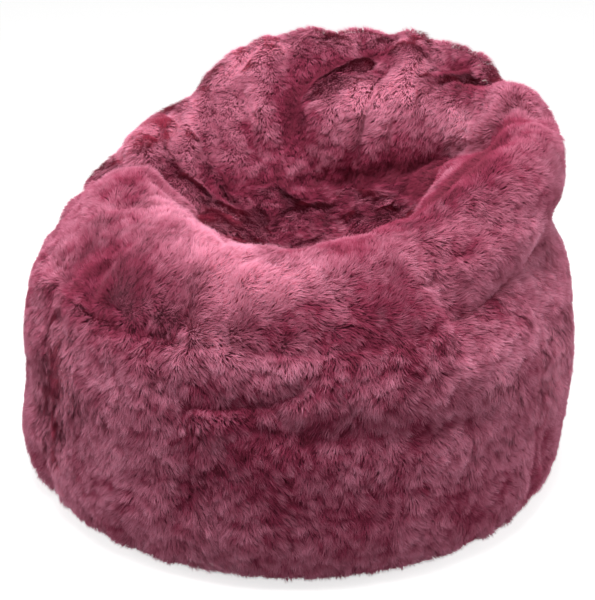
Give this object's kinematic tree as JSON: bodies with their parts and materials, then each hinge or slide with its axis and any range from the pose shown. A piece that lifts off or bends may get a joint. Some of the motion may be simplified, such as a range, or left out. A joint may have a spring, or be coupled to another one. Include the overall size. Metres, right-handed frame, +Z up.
{
  "type": "bean bag chair",
  "caption": "Round bean bag chair in long-pile sheepskin with a hollow seat, a raised back and rolled arms, a zipped base, a zipped cotton liner and a bead filling.",
  "frame": {"origin": "centre of the flat base, on the floor", "axes": "+Z up; -Y is the front, where the lip is low and the sitter's legs go; +X is on the right of someone who looks at the front"},
  "size_m": [0.9343, 0.9224, 0.6951],
  "materials": {
    "sheepskin_pile": "long soft pile, rose pink with a darker raspberry root",
    "suede": "matt suede",
    "cotton": "plain woven cotton",
    "beads": "expanded polystyrene beads",
    "zip_tape": "woven polyester tape",
    "zip_teeth": "moulded acetal",
    "zip_metal": "nickel plated"
  },
  "bodies": {
    "chair": {"backrest_panel": "sheepskin_pile", "base_front_panel": "suede", "base_rear_panel": "suede", "base_zip_bottom_stop": "zip_metal", "base_zip_tape_front": "zip_tape", "base_zip_tape_rear": "zip_tape", "base_zip_teeth_front": "zip_teeth", "base_zip_teeth_rear": "zip_teeth", "base_zip_top_stop": "zip_metal", "bead_fill": "beads", "crown_panel": "sheepskin_pile", "front_lip_panel": "sheepskin_pile", "front_wall_panel": "sheepskin_pile", "left_arm_panel": "sheepskin_pile", "left_wall_panel": "sheepskin_pile", "liner_base": "cotton", "liner_top": "cotton", "liner_wall": "cotton", "liner_zip_bottom_stop": "zip_metal", "liner_zip_tape_front": "zip_tape", "liner_zip_tape_rear": "zip_tape", "liner_zip_teeth_front": "zip_teeth", "liner_zip_teeth_rear": "zip_teeth", "liner_zip_top_stop": "zip_metal", "right_arm_panel": "sheepskin_pile", "right_wall_panel": "sheepskin_pile", "seat_panel": "sheepskin_pile"},
    "zip_slider": {"base_zip_slider": "zip_metal"},
    "zip_pull": {"base_zip_pull": "zip_metal"},
    "liner_zip_slider": {"liner_zip_slider": "zip_metal"}
  },
  "joints": [
    {"name": "base_zip_run", "type": "slide", "parent": "chair", "child": "zip_slider", "axis": [-1, 0, 0], "range_m": [0, 0.59], "deforming": ["base_zip_teeth_front", "base_zip_teeth_rear"]},
    {"name": "zip_pull_hinge", "type": "hinge", "parent": "zip_slider", "child": "zip_pull", "pos_m": [0.3003, 0.12, 0.00315], "axis": [0, -1, 0], "range_deg": [0, 170]},
    {"name": "liner_zip_run", "type": "slide", "parent": "chair", "child": "liner_zip_slider", "axis": [-1, 0, 0], "range_m": [0, 0.294], "deforming": ["liner_zip_teeth_front", "liner_zip_teeth_rear"]}
  ]
}
